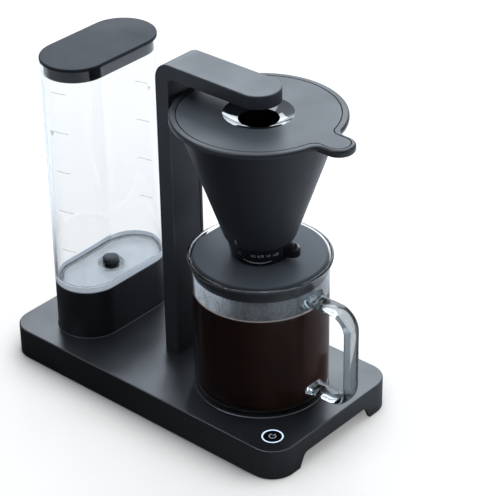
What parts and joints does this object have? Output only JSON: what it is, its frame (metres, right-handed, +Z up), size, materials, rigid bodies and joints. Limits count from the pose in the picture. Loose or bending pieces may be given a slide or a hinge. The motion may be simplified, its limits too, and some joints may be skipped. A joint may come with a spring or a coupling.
{
  "type": "filter coffee brewer",
  "caption": "Filter coffee brewer: flat base with a clear lift-off water tank, square post with a water arm, cone filter holder with lid, and a glass carafe with a strap handle.",
  "frame": {"origin": "centre of the whole brewer's bounding box, on the plane that the feet rest on; 9.5 mm towards the carafe handle from the middle of the base", "axes": "+X along the base from the water tank to the carafe handle, -Y is the front long side with the button, +Z up"},
  "size_m": [0.344, 0.162, 0.3205],
  "materials": {
    "satin_black": "satin moulded black plastic",
    "black_metal": "satin black coating",
    "gloss_black": "gloss",
    "valve_rubber": "matt",
    "silicone": "translucent silicone",
    "clear_plastic": "clear polished",
    "glass": "clear borosilicate",
    "steel": "plated",
    "cast_aluminium": "as cast",
    "circuit_board": "solder mask",
    "light_guide": "frosted, lit",
    "wire_insulation": "silicone rubber"
  },
  "bodies": {
    "root": {"base_shell": "satin_black", "bottom_plate": "satin_black", "base_screws": "steel", "rubber_feet": "valve_rubber", "hot_plate": "black_metal", "hot_plate_seal": "silicone", "cord_gland": "valve_rubber", "led_ring": "light_guide", "button_board": "circuit_board", "button_switch": "satin_black", "heater_casting": "cast_aluminium", "heater_element": "steel", "heater_strap": "steel", "strap_screws": "steel", "thermostat": "steel", "thermal_fuse": "steel", "check_valve": "satin_black", "inlet_hose": "silicone", "outlet_hose": "silicone", "riser_tube": "steel", "outlet_nozzle": "satin_black", "control_board": "circuit_board", "power_relay": "satin_black", "supply_module": "satin_black", "terminal_block": "satin_black", "element_leads": "wire_insulation", "tank_dock": "satin_black", "dock_port": "satin_black", "dock_seal": "silicone", "post_shell": "black_metal", "post_cover": "satin_black", "post_screws": "steel", "holder_bracket": "satin_black", "bracket_screws": "steel"},
    "water_tank": {"tank": "clear_plastic", "valve_guide": "satin_black", "valve_spring": "steel"},
    "tank_valve_body": {"tank_valve": "valve_rubber"},
    "tank_lid_body": {"tank_lid": "satin_black"},
    "filter_unit": {"filter_holder": "satin_black", "ring_clip": "steel", "drip_guide": "satin_black", "drip_spring": "steel"},
    "filter_lid_body": {"filter_lid": "satin_black"},
    "flow_ring_body": {"flow_ring": "gloss_black"},
    "drip_stop": {"drip_plunger": "gloss_black"},
    "carafe": {"carafe_glass": "glass", "carafe_handle": "glass"},
    "carafe_lid_body": {"carafe_lid": "satin_black"},
    "button": {"power_button": "satin_black"}
  },
  "joints": [
    {"name": "tank_lift", "type": "slide", "parent": "root", "child": "water_tank", "axis": [0, 0, 1], "range_m": [0, 0.08]},
    {"name": "tank_lid_lift", "type": "slide", "parent": "water_tank", "child": "tank_lid_body", "axis": [0, 0, 1], "range_m": [0, 0.04]},
    {"name": "tank_valve_lift", "type": "slide", "parent": "water_tank", "child": "tank_valve_body", "axis": [0, 0, 1], "range_m": [0, 0.003], "stiffness_N_per_m": 60, "springref_m": -0.004, "deforming": ["valve_spring"]},
    {"name": "filter_slide", "type": "slide", "parent": "root", "child": "filter_unit", "axis": [1, 0, 0], "range_m": [0, 0.12]},
    {"name": "filter_lid_lift", "type": "slide", "parent": "filter_unit", "child": "filter_lid_body", "axis": [0, 0, 1], "range_m": [0, 0.009]},
    {"name": "flow_ring_turn", "type": "hinge", "parent": "filter_unit", "child": "flow_ring_body", "pos_m": [0.0685, 0, 0.17], "axis": [0, 0, 1], "range_deg": [-75, 0]},
    {"name": "drip_stop_lift", "type": "slide", "parent": "filter_unit", "child": "drip_stop", "axis": [0, 0, 1], "range_m": [0, 0.0025], "stiffness_N_per_m": 80, "springref_m": -0.005, "deforming": ["drip_spring"]},
    {"name": "carafe_slide", "type": "slide", "parent": "root", "child": "carafe", "axis": [1, 0, 0], "range_m": [0, 0.15]},
    {"name": "carafe_lid_turn", "type": "hinge", "parent": "carafe", "child": "carafe_lid_body", "pos_m": [0.0685, 0, 0.16], "axis": [0, 0, 1], "range_deg": [0, 60]},
    {"name": "button_press", "type": "slide", "parent": "root", "child": "button", "axis": [0, 0, -1], "range_m": [0, 0.0006], "stiffness_N_per_m": 400, "springref_m": -0.0005}
  ]
}
